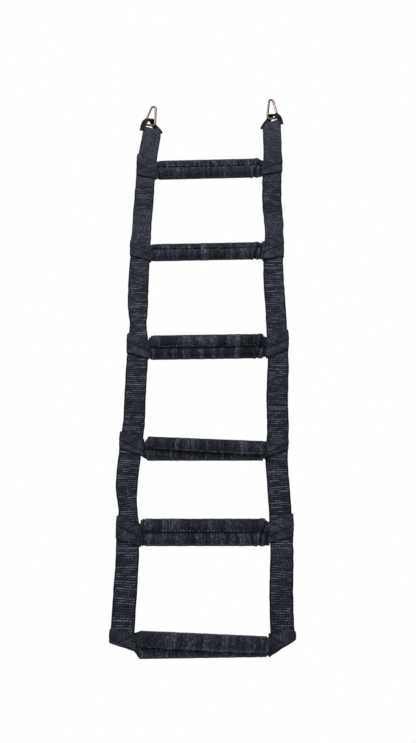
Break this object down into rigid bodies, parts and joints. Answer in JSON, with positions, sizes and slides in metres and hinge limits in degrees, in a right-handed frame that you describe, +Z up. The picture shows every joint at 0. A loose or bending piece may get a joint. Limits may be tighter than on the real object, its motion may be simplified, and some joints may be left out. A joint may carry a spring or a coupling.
{
  "type": "escape ladder",
  "caption": "Hanging escape ladder of black webbing: two flat side straps, sleeved double-bar rungs sewn to them with wraps, and a snap hook in a webbing loop at each top end.",
  "frame": {"origin": "on the ladder's centre line at the mean height of the seats of the two snap hooks, from which it hangs; the left seat is 15 mm lower and the right one 15 mm higher", "axes": "+Z up along the hanging ladder, +X to the right seen from the front, front towards -Y"},
  "size_m": [0.385, 0.0524, 1.4735],
  "materials": {
    "strap_webbing": "matt ribbed black webbing",
    "sleeve_webbing": "matt ribbed black webbing, puckered",
    "wrap_webbing": "matt fine-textured black webbing",
    "hook_steel": "worn zinc plate with a brownish tint",
    "bright_steel": "bright wire",
    "bar_aluminium": "drawn tube"
  },
  "bodies": {
    "left_hook": {"left_hook_frame": "hook_steel", "left_gate_rivet": "bright_steel"},
    "left_gate": {"left_hook_gate": "hook_steel", "left_gate_spring": "bright_steel"},
    "right_hook": {"right_hook_frame": "hook_steel", "right_gate_rivet": "bright_steel"},
    "right_gate": {"right_hook_gate": "hook_steel", "right_gate_spring": "bright_steel"},
    "top_section": {"left_hanging_loop": "wrap_webbing", "right_hanging_loop": "wrap_webbing", "left_top_strap": "strap_webbing", "right_top_strap": "strap_webbing", "rung_1_sleeve": "sleeve_webbing", "rung_1_bars": "bar_aluminium", "rung_1_wraps": "wrap_webbing"},
    "gap_1_upper": {"gap_1_left_upper_strap": "strap_webbing", "gap_1_right_upper_strap": "strap_webbing"},
    "gap_1_lower": {"gap_1_left_lower_strap": "strap_webbing", "gap_1_right_lower_strap": "strap_webbing"},
    "rung_2": {"rung_2_sleeve": "sleeve_webbing", "rung_2_bars": "bar_aluminium", "rung_2_wraps": "wrap_webbing", "rung_2_strap_runs": "strap_webbing"},
    "gap_2_upper": {"gap_2_left_upper_strap": "strap_webbing", "gap_2_right_upper_strap": "strap_webbing"},
    "gap_2_lower": {"gap_2_left_lower_strap": "strap_webbing", "gap_2_right_lower_strap": "strap_webbing"},
    "rung_3": {"rung_3_sleeve": "sleeve_webbing", "rung_3_bars": "bar_aluminium", "rung_3_wraps": "wrap_webbing", "rung_3_strap_runs": "strap_webbing"},
    "gap_3_upper": {"gap_3_left_upper_strap": "strap_webbing", "gap_3_right_upper_strap": "strap_webbing"},
    "gap_3_lower": {"gap_3_left_lower_strap": "strap_webbing", "gap_3_right_lower_strap": "strap_webbing"},
    "rung_4": {"rung_4_sleeve": "sleeve_webbing", "rung_4_bars": "bar_aluminium", "rung_4_wraps": "wrap_webbing", "rung_4_strap_runs": "strap_webbing"},
    "gap_4_upper": {"gap_4_left_upper_strap": "strap_webbing", "gap_4_right_upper_strap": "strap_webbing"},
    "gap_4_lower": {"gap_4_left_lower_strap": "strap_webbing", "gap_4_right_lower_strap": "strap_webbing"},
    "rung_5": {"rung_5_sleeve": "sleeve_webbing", "rung_5_bars": "bar_aluminium", "rung_5_wraps": "wrap_webbing", "rung_5_strap_runs": "strap_webbing"},
    "gap_5_upper": {"gap_5_left_upper_strap": "strap_webbing", "gap_5_right_upper_strap": "strap_webbing"},
    "gap_5_lower": {"gap_5_left_lower_strap": "strap_webbing", "gap_5_right_lower_strap": "strap_webbing"},
    "rung_6": {"rung_6_sleeve": "sleeve_webbing", "rung_6_bars": "bar_aluminium", "rung_6_wraps": "wrap_webbing", "rung_6_strap_runs": "strap_webbing"}
  },
  "joints": [
    {"name": "ladder_swing", "type": "hinge", "parent": "left_hook", "child": "top_section", "pos_m": [-0.16191, 0, -0.07535], "axis": [0.9961, 0, 0.088], "range_deg": [-60, 60]},
    {"name": "right_hook_swing", "type": "hinge", "parent": "top_section", "child": "right_hook", "pos_m": [0.17151, 0, -0.0459], "axis": [0.9961, 0, 0.088], "range_deg": [-60, 60]},
    {"name": "left_gate_open", "type": "hinge", "parent": "left_hook", "child": "left_gate", "pos_m": [-0.17211, 0, -0.05768], "axis": [0, 1, 0], "range_deg": [0, 11], "stiffness_Nm_per_rad": 0.6, "springref_deg": -8.59},
    {"name": "right_gate_open", "type": "hinge", "parent": "right_hook", "child": "right_gate", "pos_m": [0.18324, 0, -0.02921], "axis": [0, -1, 0], "range_deg": [0, 11], "stiffness_Nm_per_rad": 0.6, "springref_deg": -8.59},
    {"name": "gap_1_fold", "type": "hinge", "parent": "top_section", "child": "gap_1_upper", "pos_m": [0, 0, -0.263], "axis": [1, 0, 0], "range_deg": [-75, 0]},
    {"name": "gap_1_knee", "type": "hinge", "parent": "gap_1_upper", "child": "gap_1_lower", "pos_m": [0, 0, -0.3415], "axis": [-1, 0, 0], "range_deg": [-150, 0]},
    {"name": "gap_1_level", "type": "hinge", "parent": "gap_1_lower", "child": "rung_2", "pos_m": [0, 0, -0.42], "axis": [1, 0, 0], "range_deg": [-75, 0]},
    {"name": "gap_2_fold", "type": "hinge", "parent": "rung_2", "child": "gap_2_upper", "pos_m": [0, 0, -0.518], "axis": [1, 0, 0], "range_deg": [-75, 0]},
    {"name": "gap_2_knee", "type": "hinge", "parent": "gap_2_upper", "child": "gap_2_lower", "pos_m": [0, 0, -0.6015], "axis": [-1, 0, 0], "range_deg": [-150, 0]},
    {"name": "gap_2_level", "type": "hinge", "parent": "gap_2_lower", "child": "rung_3", "pos_m": [0, 0, -0.685], "axis": [1, 0, 0], "range_deg": [-75, 0]},
    {"name": "gap_3_fold", "type": "hinge", "parent": "rung_3", "child": "gap_3_upper", "pos_m": [0, 0, -0.783], "axis": [1, 0, 0], "range_deg": [-75, 0]},
    {"name": "gap_3_knee", "type": "hinge", "parent": "gap_3_upper", "child": "gap_3_lower", "pos_m": [0, 0, -0.8615], "axis": [-1, 0, 0], "range_deg": [-150, 0]},
    {"name": "gap_3_level", "type": "hinge", "parent": "gap_3_lower", "child": "rung_4", "pos_m": [0, 0, -0.94], "axis": [1, 0, 0], "range_deg": [-75, 0]},
    {"name": "gap_4_fold", "type": "hinge", "parent": "rung_4", "child": "gap_4_upper", "pos_m": [0, 0, -1.038], "axis": [1, 0, 0], "range_deg": [-75, 0]},
    {"name": "gap_4_knee", "type": "hinge", "parent": "gap_4_upper", "child": "gap_4_lower", "pos_m": [0, 0, -1.084], "axis": [-1, 0, 0], "range_deg": [-150, 0]},
    {"name": "gap_4_level", "type": "hinge", "parent": "gap_4_lower", "child": "rung_5", "pos_m": [0, 0, -1.13], "axis": [1, 0, 0], "range_deg": [-75, 0]},
    {"name": "gap_5_fold", "type": "hinge", "parent": "rung_5", "child": "gap_5_upper", "pos_m": [0, 0, -1.228], "axis": [1, 0, 0], "range_deg": [-75, 0]},
    {"name": "gap_5_knee", "type": "hinge", "parent": "gap_5_upper", "child": "gap_5_lower", "pos_m": [0, 0, -1.2965], "axis": [-1, 0, 0], "range_deg": [-150, 0]},
    {"name": "gap_5_level", "type": "hinge", "parent": "gap_5_lower", "child": "rung_6", "pos_m": [0, 0, -1.365], "axis": [1, 0, 0], "range_deg": [-75, 0]}
  ],
  "couplings": [
    {"joint": "right_hook_swing", "follows": "ladder_swing", "ratio": -1}
  ]
}
